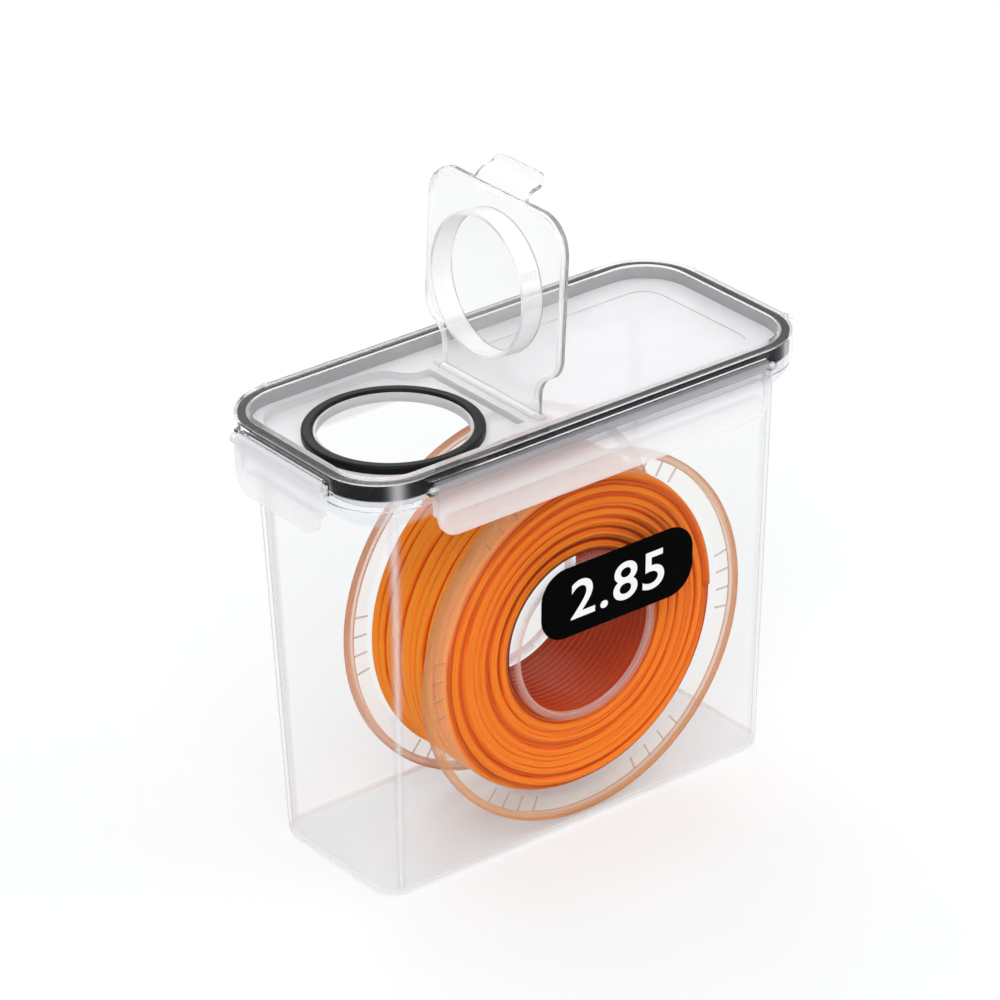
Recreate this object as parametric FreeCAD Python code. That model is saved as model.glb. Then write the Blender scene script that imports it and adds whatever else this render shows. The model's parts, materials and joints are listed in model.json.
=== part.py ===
import FreeCAD, Part
import math
import os

Vec = FreeCAD.Vector
UP = Vec(0, 0, 1)

# A clear airtight box for one spool of printing filament, in millimetres.
# X runs along the box, Y across it, Z up. The origin is on the table, under the middle of the base.

# Whole box
box_height = 218.0
base_length = 223.0
base_width = 86.0
base_corner_r = 13.0
base_edge_r = 3.0
wall = 1.8
floor_thick = 2.5
floor_inner_r = 1.6

# Lid rim: an upside-down channel that holds the gasket
lid_length = 256.0
lid_width = 119.0
lid_corner_r = 30.0
lid_skirt_height = 14.0
lid_skirt = 1.4
lid_top = 1.8
lid_inner_wall = 1.4
lid_edge_r = 1.0
panel_thick = 1.8
panel_drop = 7.0
pocket_ledge = 3.7
field_drop = 0.7
field_inset = 13.5
field_corner_r = 12.0
field_from_hinge = 16.0

# Gasket in the lid rim
gasket_width = 4.0
gasket_height = 7.7
gasket_fit = 0.05
gasket_edge_r = 0.8

# Mouth of the container, under the gasket
mouth_side_gap = 0.6
mouth_top_gap = 0.3
shoulder_out = 7.0
shoulder_rise = 8.0
mouth_band = 8.2

# Pouring spout in the lid
spout_from_end = 58.3
spout_bore_r = 34.5
collar_wall = 1.1
collar_height = 2.4
seal_width = 5.3
seal_below_cap = 0.4
seal_edge_r = 1.4
seal_fit = 0.1

# Flip cap over the spout and its hinge
hinge_from_spout = 53.7
hinge_below_panel = 0.8
hinge_half = 34.0
hinge_end_gap = 0.6
barrel_r = 2.4
cap_pin_r = 1.0
pin_play = 0.05
lug_thick = 4.0
trough_gap = 0.5
trough_back = 3.9
crease_from_hinge = 7.0
cap_reach = 97.0
cap_side_gap = 0.8
cap_corner_r = 17.0
cap_thick = 2.0
cap_over_panel = 0.4
cap_skirt = 1.5
cap_skirt_drop = 2.0
cap_edge_r = 0.7
neck_run = 22.0
neck_from_hinge = 10.0
plug_gap = 1.0
plug_wall = 1.6
plug_depth = 11.0
notch_width = 4.0
notch_turn_deg = 24.0
cap_open_angle = 94.0
tab_root_width = 37.0
tab_tip_width = 33.0
tab_run = 11.5
tab_rise = 10.2
tab_thick = 1.8
tab_overlap = 1.5
tab_corner_r = 4.0

# Four side latches, each on a pin held by two ears of the lid
long_latch = 188.0
short_latch = 62.0
latch_drop = 24.0
latch_thick = 2.0
latch_barrel_r = 2.6
latch_pin_r = 1.0
latch_axis_out = 3.2
latch_axis_below_top = 6.0
latch_end_gap = 0.3
latch_corner_r = 10.0
latch_border = 4.0
latch_dish = 0.6
latch_rib = 1.5
latch_rib_depth = 3.0
hook_thick = 2.2
hook_above_edge = 8.0
hook_gap = 0.4
hook_end_inset = 4.0
ear_thick = 3.0
ledge_gap = 0.35
ledge_thick = 1.2
ledge_tip_out = 2.3
ledge_root = 1.0
ledge_below_edge = 0.5

# Spool of filament standing on the floor of the box
spool_r = 91.0
spool_width = 62.0
spool_x = 6.0
spool_floor_gap = 0.3
spool_wall_gap = 2.0
flange_thick = 2.0
flange_rim_width = 3.6
flange_rim_rise = 1.0
hub_r = 41.0
hub_wall = 3.5
filament_r = 1.6
filament_outer_r = 79.0
filament_pitch = 4.0
filament_end_bend_r = 2.2
filament_end_run = 0.3
winding_gap = 0.1
side_turns = 8
side_margin = 0.4
tick_groups = 6
ticks_per_group = 4
tick_step_deg = 6.5
tick_width = 0.9
tick_rise = 0.5
tick_gap = 0.8

# Pill-shaped label on the front wall
label_length = 88.0
label_height = 36.0
label_corner_r = 14.0
label_thick = 0.4
label_x = 18.0
label_z = 121.0

# How far a cutting tool runs past the face that it cuts, and how near two heights count as one
over = 1.0
same_place = 0.01

# Places worked out from the sizes above
lid_top_z = box_height
lid_bottom_z = box_height - lid_skirt_height
rim_width = lid_skirt + gasket_width + lid_inner_wall
panel_z = lid_top_z - panel_drop
gasket_top_z = lid_top_z - lid_top
gasket_bottom_z = gasket_top_z - gasket_height
mouth_z = gasket_bottom_z - mouth_top_gap
shoulder_top_z = mouth_z - mouth_band
shoulder_z = shoulder_top_z - shoulder_rise
mouth_inset = lid_skirt + mouth_side_gap
mouth_length = lid_length - 2 * mouth_inset
mouth_width = lid_width - 2 * mouth_inset
mouth_corner_r = lid_corner_r - mouth_inset
wall_top_length = mouth_length - 2 * shoulder_out
wall_top_width = mouth_width - 2 * shoulder_out
wall_top_corner_r = mouth_corner_r - shoulder_out
wall_tilt_deg = math.degrees(math.atan((wall_top_width - base_width) / 2 / shoulder_z))

spout_x = -lid_length / 2 + spout_from_end
hinge_x = spout_x + hinge_from_spout
hinge_z = panel_z - hinge_below_panel
pocket_z = hinge_z - barrel_r - trough_gap
cap_low_z = panel_z + cap_over_panel
cap_half = lid_width / 2 - rim_width - pocket_ledge - cap_side_gap

spool_z = floor_thick + spool_floor_gap + spool_r
spool_front_y = -(base_width / 2 - wall - spool_wall_gap)
spool_rear_y = spool_front_y + spool_width
winding_low_y = spool_front_y + flange_thick + winding_gap
winding_high_y = spool_rear_y - flange_thick - winding_gap
winding_r = filament_outer_r - filament_r
core_r = winding_r - filament_r - winding_gap


def rounded_wire(length, width, corner_r, z):
    """A rectangle with round corners, centred on the Z axis at the height z."""
    hx, hy, r = length / 2, width / 2, corner_r
    k = r * (1 - math.sqrt(0.5))
    corners = [(1, 1), (-1, 1), (-1, -1), (1, -1)]
    edges = []
    for i, (sx, sy) in enumerate(corners):
        along_x = Vec(sx * (hx - r), sy * hy, z)
        along_y = Vec(sx * hx, sy * (hy - r), z)
        middle = Vec(sx * (hx - k), sy * (hy - k), z)
        first, last = (along_y, along_x) if sx * sy > 0 else (along_x, along_y)
        edges.append(Part.Arc(first, middle, last).toShape())
        nx, ny = corners[(i + 1) % 4]
        next_start = Vec(nx * hx, ny * (hy - r), z) if nx * ny > 0 else Vec(nx * (hx - r), ny * hy, z)
        edges.append(Part.LineSegment(last, next_start).toShape())
    return Part.Wire(edges)


def slab(length, width, corner_r, z_low, z_high):
    face = Part.Face(rounded_wire(length, width, corner_r, z_low))
    return face.extrude(UP * (z_high - z_low))


def inset_slab(inset, z_low, z_high):
    """A slab with the lid's outline, drawn in by inset on every side."""
    return slab(lid_length - 2 * inset, lid_width - 2 * inset, lid_corner_r - inset, z_low, z_high)


def block(x_low, x_high, y_low, y_high, z_low, z_high):
    return Part.makeBox(x_high - x_low, y_high - y_low, z_high - z_low, Vec(x_low, y_low, z_low))


def rod_y(radius, x, z, y_low, y_high):
    return Part.makeCylinder(radius, y_high - y_low, Vec(x, y_low, z), Vec(0, 1, 0))


def rod_x(radius, x_low, x_high):
    return Part.makeCylinder(radius, x_high - x_low, Vec(x_low, 0, 0), Vec(1, 0, 0))


def tube_y(outer_r, inner_r, x, z, y_low, y_high):
    outer = rod_y(outer_r, x, z, y_low, y_high)
    return outer.cut(rod_y(inner_r, x, z, y_low - over, y_high + over))


def level_edges(shape, z):
    """The edges of a shape that lie flat at the height z."""
    box_of = [(edge, edge.BoundBox) for edge in shape.Edges]
    return [edge for edge, box in box_of if max(abs(box.ZMin - z), abs(box.ZMax - z)) < same_place]


def tapered_stack(inset, lift, z_low, z_high):
    """The container's outline from foot to mouth, drawn in by inset and with its shoulder raised by lift."""
    sections = [
        (base_length, base_width, base_corner_r, z_low),
        (wall_top_length, wall_top_width, wall_top_corner_r, shoulder_z + lift),
        (mouth_length, mouth_width, mouth_corner_r, shoulder_top_z + lift),
        (mouth_length, mouth_width, mouth_corner_r, z_high)]
    wires = [rounded_wire(length - 2 * inset, width - 2 * inset, corner_r - inset, z)
             for length, width, corner_r, z in sections]
    stack = Part.makeLoft(wires[:2], True, True)
    for low, high in zip(wires[1:], wires[2:]):
        stack = stack.fuse(Part.makeLoft([low, high], True, True))
    return stack


def container_body():
    outer = tapered_stack(0, 0, 0, mouth_z)
    outer = outer.makeFillet(base_edge_r, level_edges(outer, 0))
    inner = tapered_stack(wall, wall, floor_thick, mouth_z + over)
    inner = inner.makeFillet(floor_inner_r, level_edges(inner, floor_thick))
    return outer.cut(inner)


def cap_plan(grow, far_x, far_corner_r, near_x):
    """Outline of the cap, grown by grow: a round-cornered far end and a neck drawn in to the hinge."""
    side = cap_half + grow
    neck = hinge_half + grow
    fall = cap_half - hinge_half
    turn = 2 * math.atan(fall / neck_run)
    bend_r = neck_run / (2 * math.sin(turn))
    side_x = hinge_x - neck_from_hinge - neck_run
    neck_x = hinge_x - neck_from_hinge
    wide_r, tight_r = bend_r + grow, bend_r - grow
    half_turn_x, half_turn_y = math.sin(turn / 2), math.cos(turn / 2)
    meet = Vec(side_x + wide_r * math.sin(turn), cap_half - bend_r + wide_r * math.cos(turn), 0)
    wide_mid = Vec(side_x + wide_r * half_turn_x, cap_half - bend_r + wide_r * half_turn_y, 0)
    tight_mid = Vec(neck_x - tight_r * half_turn_x, hinge_half + bend_r - tight_r * half_turn_y, 0)
    k = far_corner_r * (1 - math.sqrt(0.5))
    corner_start = Vec(far_x + far_corner_r, side, 0)
    corner_end = Vec(far_x, side - far_corner_r, 0)
    stretches = [
        (Vec(near_x, neck, 0), Vec(neck_x, neck, 0), None),
        (Vec(neck_x, neck, 0), meet, tight_mid),
        (meet, Vec(side_x, side, 0), wide_mid),
        (Vec(side_x, side, 0), corner_start, None),
        (corner_start, corner_end, Vec(far_x + k, side - k, 0))]
    half = []
    for start, end, middle in stretches:
        curve = Part.Arc(start, middle, end) if middle else Part.LineSegment(start, end)
        half.append(curve.toShape())
    other = [edge.mirror(Vec(0, 0, 0), Vec(0, 1, 0)) for edge in reversed(half)]
    end_line = Part.LineSegment(corner_end, Vec(far_x, -corner_end.y, 0)).toShape()
    near_line = Part.LineSegment(Vec(near_x, -neck, 0), Vec(near_x, neck, 0)).toShape()
    return Part.Wire(Part.__sortEdges__(half + [end_line] + other + [near_line]))


def cap_slab(grow, far_x, far_corner_r, near_x, z_low, z_high):
    face = Part.Face(cap_plan(grow, far_x, far_corner_r, near_x))
    face.translate(UP * z_low)
    return face.extrude(UP * (z_high - z_low))


def pocket(grow, z_low, z_high):
    """The pocket of the lid that the closed cap lies in."""
    room = cap_side_gap + grow
    near_x = hinge_x - crease_from_hinge + grow
    return cap_slab(room, hinge_x - cap_reach - room, cap_corner_r + room, near_x, z_low, z_high)


def latch_spots():
    """Name, length and placement of each latch, whose own frame has its pin along X and +Y inwards."""
    spots = [("front", long_latch, 0, lid_width / 2), ("right", short_latch, 90, lid_length / 2),
             ("rear", long_latch, 180, lid_width / 2), ("left", short_latch, 270, lid_length / 2)]
    axis_z = lid_top_z - latch_axis_below_top
    placed = []
    for name, length, angle, reach in spots:
        turn = FreeCAD.Rotation(UP, angle)
        place = turn.multVec(Vec(0, -(reach + latch_axis_out), 0)) + UP * axis_z
        placed.append((name, length, FreeCAD.Placement(place, turn)))
    return placed


def placed_copy(shape, placement):
    moved = shape.copy()
    moved.Placement = placement.multiply(moved.Placement)
    return moved


def side_prism(points, x_low, x_high):
    """A prism along X from a closed outline given as (y, z) points."""
    outline = Part.makePolygon([Vec(x_low, y, z) for y, z in points + points[:1]])
    return Part.Face(outline).extrude(Vec(x_high - x_low, 0, 0))


def latch_seat(length):
    """The sloping ledge over a latch and the two ears that hold its pin, in the latch's frame."""
    ear_start = length / 2 + latch_end_gap
    ear_end = ear_start + ear_thick
    root_y = latch_axis_out + ledge_root
    tip_y = latch_axis_out - ledge_tip_out
    ledge_z = latch_barrel_r + ledge_gap
    tip_z = ledge_z + ledge_thick
    root_z = latch_axis_below_top - lid_edge_r - ledge_below_edge
    seat = side_prism([(root_y, ledge_z), (tip_y, ledge_z), (tip_y, tip_z), (root_y, root_z)],
                      -ear_end, ear_end)
    for low, high in ((-ear_end, -ear_start), (ear_start, ear_end)):
        ear = rod_x(latch_barrel_r, low, high)
        ear = ear.fuse(block(low, high, 0, root_y, -latch_barrel_r, tip_z))
        seat = seat.fuse(ear)
    return seat.cut(rod_x(latch_pin_r, -ear_end - over, ear_end + over))


def latch_pin(length):
    reach = length / 2 + latch_end_gap + ear_thick
    return rod_x(latch_pin_r, -reach, reach)


def upright_plate(length, height, corner_r, y_low, y_high, z_middle):
    """A round-cornered plate standing across Y."""
    plate = slab(length, height, corner_r, -y_high, -y_low)
    plate.rotate(Vec(0, 0, 0), Vec(1, 0, 0), 90)
    plate.translate(UP * z_middle)
    return plate


def latch(length):
    half = length / 2
    outer_y = -latch_barrel_r
    inner_y = outer_y + latch_thick
    flap = upright_plate(length, 2 * latch_drop, latch_corner_r, outer_y, inner_y, 0)
    flap = flap.cut(block(-length, length, outer_y - over, inner_y + over, 0, 2 * latch_drop))
    dish_height = latch_drop - latch_border - latch_barrel_r
    dish_z = -latch_barrel_r - dish_height / 2
    dish_r = latch_corner_r - latch_border
    dish = upright_plate(length - 2 * latch_border, dish_height, dish_r, outer_y - over,
                         outer_y + latch_dish, dish_z)
    flap = flap.cut(dish)
    hook_tip_y = latch_axis_out + mouth_inset - hook_gap
    hook_low = -latch_drop + hook_above_edge
    hook_half = half - hook_end_inset
    hook = side_prism([(inner_y, hook_low - hook_thick), (hook_tip_y, hook_low),
                       (hook_tip_y, hook_low + hook_thick / 2), (inner_y, hook_low + hook_thick)],
                      -hook_half, hook_half)
    body = flap.fuse(rod_x(latch_barrel_r, -half, half)).fuse(hook)
    rib_low = -latch_drop + latch_corner_r
    for low in (-half, half - latch_rib):
        body = body.fuse(block(low, low + latch_rib, inner_y, inner_y + latch_rib_depth, rib_low, 0))
    return body.cut(rod_x(latch_pin_r + pin_play, -half - over, half + over))


def lid():
    body = inset_slab(0, lid_bottom_z, lid_top_z)
    body = body.makeFillet(lid_edge_r, level_edges(body, lid_top_z))
    for _, length, placement in latch_spots():
        body = body.fuse(placed_copy(latch_seat(length), placement))
    channel = inset_slab(lid_skirt, lid_bottom_z - over, gasket_top_z)
    channel = channel.cut(inset_slab(lid_skirt + gasket_width, lid_bottom_z - over, gasket_top_z))
    body = body.cut(channel)
    body = body.cut(inset_slab(rim_width, panel_z, lid_top_z + over))
    field_low_x = hinge_x + field_from_hinge
    field_high_x = lid_length / 2 - rim_width - field_inset
    field = slab(field_high_x - field_low_x, lid_width - 2 * (rim_width + field_inset), field_corner_r,
                 panel_z - field_drop, panel_z + over)
    field.translate(Vec((field_low_x + field_high_x) / 2, 0, 0))
    body = body.cut(field)
    body = body.cut(inset_slab(rim_width, lid_bottom_z - over, panel_z - panel_thick))
    body = body.fuse(pocket(panel_thick, pocket_z - panel_thick, panel_z))
    lug_end = hinge_half + hinge_end_gap + lug_thick
    hinge_front = hinge_x - crease_from_hinge
    hinge_rear = hinge_x + trough_back + panel_thick
    trough_half = hinge_half + hinge_end_gap
    body = body.fuse(block(hinge_front, hinge_rear, -lug_end, lug_end, pocket_z - panel_thick, panel_z))
    body = body.cut(pocket(0, pocket_z, panel_z + over))
    body = body.fuse(Part.makeCylinder(spout_bore_r + collar_wall, collar_height, Vec(spout_x, 0, pocket_z)))
    bore_low = pocket_z - panel_thick - over
    body = body.cut(Part.makeCylinder(spout_bore_r, lid_top_z - bore_low, Vec(spout_x, 0, bore_low)))
    body = body.cut(block(hinge_x - barrel_r - trough_gap, hinge_x + trough_back, -trough_half, trough_half,
                          pocket_z, panel_z + over))
    for side in (-1, 1):
        y_low, y_high = sorted((side * trough_half, side * lug_end))
        body = body.fuse(rod_y(barrel_r, hinge_x, hinge_z, y_low, y_high))
    return body.cut(cap_hinge_pin()).removeSplitter()


def lid_gasket():
    outer = lid_skirt + gasket_fit
    inner = lid_skirt + gasket_width - gasket_fit
    top = gasket_top_z - gasket_fit
    ring = inset_slab(outer, gasket_bottom_z, top).cut(inset_slab(inner, gasket_bottom_z - over, top + over))
    return ring.makeFillet(gasket_edge_r, level_edges(ring, gasket_bottom_z))


def spout_seal():
    inner_r = spout_bore_r + collar_wall + seal_fit
    outer_r = inner_r + seal_width
    top_z = cap_low_z - seal_below_cap
    height = top_z - pocket_z
    foot = Vec(spout_x, 0, pocket_z)
    ring = Part.makeCylinder(outer_r, height, foot).cut(Part.makeCylinder(inner_r, height, foot))
    return ring.makeFillet(seal_edge_r, level_edges(ring, top_z))


def thumb_tab(far_x, mid_z):
    """The tab at the cap's free end: an S-bent strip that rises clear of the lid's rim."""
    turn = 2 * math.atan(tab_rise / tab_run)
    bend_r = tab_run / (2 * math.sin(turn))
    start_x = far_x + tab_overlap
    low = Vec(start_x, 0, mid_z + bend_r)
    high = Vec(start_x - tab_run, 0, mid_z + tab_rise - bend_r)

    def on_low(radius, angle):
        return low + Vec(-math.sin(angle), 0, -math.cos(angle)) * radius

    def on_high(radius, angle):
        return high + Vec(math.sin(angle), 0, math.cos(angle)) * radius

    near, far = bend_r + tab_thick / 2, bend_r - tab_thick / 2
    edges = [
        Part.Arc(on_low(near, 0), on_low(near, turn / 2), on_low(near, turn)).toShape(),
        Part.Arc(on_high(far, turn), on_high(far, turn / 2), on_high(far, 0)).toShape(),
        Part.LineSegment(on_high(far, 0), on_high(near, 0)).toShape(),
        Part.Arc(on_high(near, 0), on_high(near, turn / 2), on_high(near, turn)).toShape(),
        Part.Arc(on_low(far, turn), on_low(far, turn / 2), on_low(far, 0)).toShape(),
        Part.LineSegment(on_low(far, 0), on_low(near, 0)).toShape()]
    strip = Part.Face(Part.Wire(edges)).extrude(Vec(0, tab_root_width, 0))
    strip.translate(Vec(0, -tab_root_width / 2, 0))
    tip_x = start_x - tab_run
    root, tip = tab_root_width / 2, tab_tip_width / 2
    plan = Part.makePolygon([Vec(start_x, root, 0), Vec(tip_x, tip, 0), Vec(tip_x, -tip, 0),
                             Vec(start_x, -root, 0), Vec(start_x, root, 0)])
    cutter = Part.Face(plan).extrude(UP * lid_top_z * 2)
    box_of = [(edge, edge.BoundBox) for edge in cutter.Edges]
    corners = [edge for edge, box in box_of if box.XMax < tip_x + same_place and box.ZLength > over]
    return strip.common(cutter.makeFillet(tab_corner_r, corners))


def flip_cap():
    """The cap is drawn shut over the spout, then swung open about its pin."""
    far_x = hinge_x - cap_reach
    low_z = cap_low_z
    high_z = low_z + cap_thick
    plate = cap_slab(0, far_x, cap_corner_r, hinge_x, low_z, high_z)
    plate = plate.makeFillet(cap_edge_r, level_edges(plate, high_z))
    skirt_near = hinge_x - crease_from_hinge - cap_side_gap
    skirt_low = low_z - cap_skirt_drop
    skirt = cap_slab(0, far_x, cap_corner_r, skirt_near, skirt_low, low_z)
    skirt = skirt.cut(cap_slab(-cap_skirt, far_x + cap_skirt, cap_corner_r - cap_skirt, hinge_x,
                               skirt_low, low_z))
    plug_r = spout_bore_r - plug_gap
    plug_foot = Vec(spout_x, 0, low_z - plug_depth)
    plug = Part.makeCylinder(plug_r, plug_depth, plug_foot)
    plug = plug.cut(Part.makeCylinder(plug_r - plug_wall, plug_depth, plug_foot))
    notch = block(spout_x - notch_width / 2, spout_x + notch_width / 2, -spout_bore_r, 0,
                  low_z - plug_depth, low_z - plug_wall)
    notch.rotate(Vec(spout_x, 0, 0), UP, -notch_turn_deg)
    plug = plug.cut(notch)
    body = plate.fuse(skirt).fuse(plug).fuse(rod_y(barrel_r, hinge_x, hinge_z, -hinge_half, hinge_half))
    body = body.fuse(thumb_tab(far_x, (low_z + high_z) / 2))
    body = body.cut(rod_y(cap_pin_r + pin_play, hinge_x, hinge_z, -hinge_half - over, hinge_half + over))
    body = body.removeSplitter()
    body.rotate(Vec(hinge_x, 0, hinge_z), Vec(0, 1, 0), cap_open_angle)
    return body


def cap_hinge_pin():
    reach = hinge_half + hinge_end_gap + lug_thick
    return rod_y(cap_pin_r, hinge_x, hinge_z, -reach, reach)


def spool_flange(outer_y, inward):
    """One clear flange. outer_y is its outside face and inward is +1 or -1, towards the winding."""
    def ring(outer_r, inner_r, start_y, thick):
        low, high = sorted((start_y, start_y + inward * thick))
        return tube_y(outer_r, inner_r, spool_x, spool_z, low, high)

    bore_r = hub_r - hub_wall
    body = ring(spool_r, bore_r, outer_y, flange_thick)
    rim_inner_r = spool_r - flange_rim_width
    body = body.fuse(ring(spool_r, rim_inner_r, outer_y, flange_thick + flange_rim_rise))
    tick_low_r = filament_outer_r + tick_gap
    inner_y = outer_y + inward * flange_thick
    tick_low, tick_high = sorted((inner_y, inner_y + inward * tick_rise))
    for group in range(tick_groups):
        for mark in range(ticks_per_group):
            angle = group * 360 / tick_groups + (mark - (ticks_per_group - 1) / 2) * tick_step_deg
            tick = block(tick_low_r, rim_inner_r, tick_low, tick_high, -tick_width / 2, tick_width / 2)
            tick.rotate(Vec(0, 0, 0), Vec(0, 1, 0), angle)
            tick.translate(Vec(spool_x, 0, spool_z))
            body = body.fuse(tick)
    return body.removeSplitter()


def spool_hub():
    low, high = spool_front_y + flange_thick, spool_rear_y - flange_thick
    return tube_y(hub_r, hub_r - hub_wall, spool_x, spool_z, low, high)


def arc_from(start, tangent, end):
    """The arc that leaves start along tangent and stops at end."""
    chord = end - start
    side = chord - tangent * chord.dot(tangent)
    side.normalize()
    radius = chord.dot(chord) / (2 * chord.dot(side))
    half = math.atan2(chord.dot(side), chord.dot(tangent))
    middle = start + tangent * (radius * math.sin(half)) + side * (radius * (1 - math.cos(half)))
    return Part.Arc(start, middle, end).toShape()


def biarc(start, start_tangent, end, end_tangent):
    """Two arcs that join two points and keep the direction at each."""
    chord = end - start
    both = start_tangent + end_tangent
    a = 2 * (1 - start_tangent.dot(end_tangent))
    b = 2 * chord.dot(both)
    reach = (-b + math.sqrt(b * b + 4 * a * chord.dot(chord))) / (2 * a)
    meet = (start + end + (start_tangent - end_tangent) * reach) * 0.5
    first = arc_from(start, start_tangent, meet)
    second = arc_from(end, end_tangent * -1, meet)
    return [first, second]


def tube_along(path, start, heading, turns):
    """One unbroken strand along path. Its volume and its least gap to itself are printed."""
    section = Part.Wire(Part.makeCircle(filament_r, start, heading))
    pipe = Part.BRepOffsetAPI.MakePipeShell(path)
    pipe.add(section)
    pipe.build()
    pipe.makeSolid()
    strand = pipe.shape()
    per_turn = 360
    points = path.discretize(turns * per_turn)
    half_turn = per_turn // 2
    least = min(point.distanceToPoint(other)
                for i, point in enumerate(points)
                for other in points[i + half_turn:i + per_turn + half_turn])
    expected = math.pi * filament_r ** 2 * path.Length
    print("filament turns", turns, "length", round(path.Length, 1), "volume ratio",
          round(strand.Volume / expected, 4), "least gap", round(least - 2 * filament_r, 3))
    return strand


def side_spiral(face_y):
    """The turns that show on one side of the winding, half sunk in the core.

    They are half circles about two centres, each half circle wider than the one before.
    """
    start_r = hub_r + winding_gap + filament_r + side_margin
    end_r = core_r - filament_r - side_margin
    step = (end_r - start_r) / side_turns
    edges = []
    for i in range(2 * side_turns):
        side = 1 if i % 2 == 0 else -1
        centre = Vec(spool_x - side * step / 4, face_y, spool_z)
        radius = start_r + step / 4 + step * i / 2
        out = Vec(side * radius, 0, 0)
        across = Vec(0, 0, side * radius)
        edges.append(Part.Arc(centre + out, centre + across, centre - out).toShape())
    start = Vec(spool_x + start_r, face_y, spool_z)
    return tube_along(Part.Wire(edges), start, UP, side_turns)


def filament_core():
    """The inner layers, with the turns that show on both sides."""
    low, high = winding_low_y + filament_r, winding_high_y - filament_r
    core = tube_y(core_r, hub_r + winding_gap, spool_x, spool_z, low, high)
    return core.fuse([side_spiral(low), side_spiral(high)])


def filament_outer_layer():
    """The outermost layer of turns: one unbroken strand whose two ends turn aside to meet the flanges."""
    end_room = filament_end_bend_r + filament_end_run
    turns = int((winding_high_y - winding_low_y - 2 * end_room) / filament_pitch)
    first_y = (spool_front_y + spool_rear_y - turns * filament_pitch) / 2
    slope = filament_pitch / (2 * math.pi * winding_r)

    def at(half_turns):
        angle = math.pi * half_turns
        y = first_y + filament_pitch * half_turns / 2
        return Vec(spool_x + winding_r * math.cos(angle), y, spool_z + winding_r * math.sin(angle))

    def heading(half_turns):
        angle = math.pi * half_turns
        return Vec(-math.sin(angle), slope, math.cos(angle)).normalize()

    first, last = at(0), at(2 * turns)
    away = Vec(0, 1, 0)

    def end_bend(point, along, across, face_y):
        """Straight run square to a flange, then the bend that joins the turns."""
        bend_end = point + (along + across) * filament_end_bend_r
        foot = Vec(bend_end.x, face_y, bend_end.z)
        middle = point + along * (filament_end_bend_r * math.sqrt(0.5))
        middle = middle + across * (filament_end_bend_r * (1 - math.sqrt(0.5)))
        bend = Part.Arc(point, middle, bend_end).toShape()
        return foot, Part.LineSegment(bend_end, foot).toShape(), bend

    start_foot, start_run, start_bend = end_bend(first, Vec(0, 0, -1), away * -1, winding_low_y)
    _, end_run, last_bend = end_bend(last, Vec(0, 0, 1), away, winding_high_y)
    edges = [start_run, start_bend]
    for i in range(2 * turns):
        start_heading = Vec(0, 0, 1) if i == 0 else heading(i)
        end_heading = Vec(0, 0, 1) if i == 2 * turns - 1 else heading(i + 1)
        edges += biarc(at(i), start_heading, at(i + 1), end_heading)
    edges += [last_bend, end_run]
    return tube_along(Part.Wire(edges), start_foot, away, turns)


def label():
    """A thin pill lying on the sloping front wall."""
    plate = upright_plate(label_length, label_height, label_corner_r, -label_thick, 0, 0)
    plate.rotate(Vec(0, 0, 0), Vec(1, 0, 0), wall_tilt_deg)
    wall_y = -(base_width / 2 + label_z * math.tan(math.radians(wall_tilt_deg)))
    plate.translate(Vec(label_x, wall_y, label_z))
    return plate


def main():
    nodes = {
        "container_body": container_body(),
        "label": label(),
        "lid": lid(),
        "lid_gasket": lid_gasket(),
        "spout_seal": spout_seal(),
        "flip_cap": flip_cap(),
        "cap_hinge_pin": cap_hinge_pin(),
        "spool_front_flange": spool_flange(spool_front_y, 1),
        "spool_rear_flange": spool_flange(spool_rear_y, -1),
        "spool_hub": spool_hub(),
        "filament_core": filament_core(),
        "filament_outer_layer": filament_outer_layer()}
    for name, length, placement in latch_spots():
        nodes["latch_" + name] = placed_copy(latch(length), placement)
        nodes["latch_pin_" + name] = placed_copy(latch_pin(length), placement)
    os.makedirs("parts", exist_ok=True)
    for name, shape in nodes.items():
        shape.exportStep("parts/" + name + ".step")
        print(name, "solids", len(shape.Solids), "valid", shape.isValid(), "volume", round(shape.Volume, 1))


main()
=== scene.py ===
import bpy
import json
import math
import random
from mathutils import Matrix, Vector


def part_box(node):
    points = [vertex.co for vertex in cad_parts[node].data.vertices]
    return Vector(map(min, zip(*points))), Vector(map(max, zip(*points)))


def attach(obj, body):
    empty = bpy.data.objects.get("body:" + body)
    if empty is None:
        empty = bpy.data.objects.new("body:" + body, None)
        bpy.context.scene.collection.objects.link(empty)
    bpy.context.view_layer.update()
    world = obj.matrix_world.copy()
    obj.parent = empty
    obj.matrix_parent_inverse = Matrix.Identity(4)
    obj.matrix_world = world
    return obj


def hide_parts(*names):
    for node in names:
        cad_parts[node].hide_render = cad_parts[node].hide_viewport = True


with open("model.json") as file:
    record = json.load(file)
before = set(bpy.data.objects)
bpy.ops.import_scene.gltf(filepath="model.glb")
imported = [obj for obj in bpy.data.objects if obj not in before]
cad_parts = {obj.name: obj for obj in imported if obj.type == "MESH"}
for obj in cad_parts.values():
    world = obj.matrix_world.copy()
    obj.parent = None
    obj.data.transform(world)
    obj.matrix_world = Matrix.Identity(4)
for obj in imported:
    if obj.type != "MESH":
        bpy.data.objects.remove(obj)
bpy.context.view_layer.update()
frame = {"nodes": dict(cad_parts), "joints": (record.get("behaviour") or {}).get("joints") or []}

# A clear box that holds one spool of filament, dressed for rendering.
# Lengths of the object are in millimetres, as in the CAD model, and MM turns them into Blender's metres.

scene = bpy.context.scene
nodes = frame["nodes"]
MM = 0.001


def box_mm(name):
    """The lowest and highest corners of a CAD node, in millimetres."""
    low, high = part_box(name)
    return Vector(low) / MM, Vector(high) / MM


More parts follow.
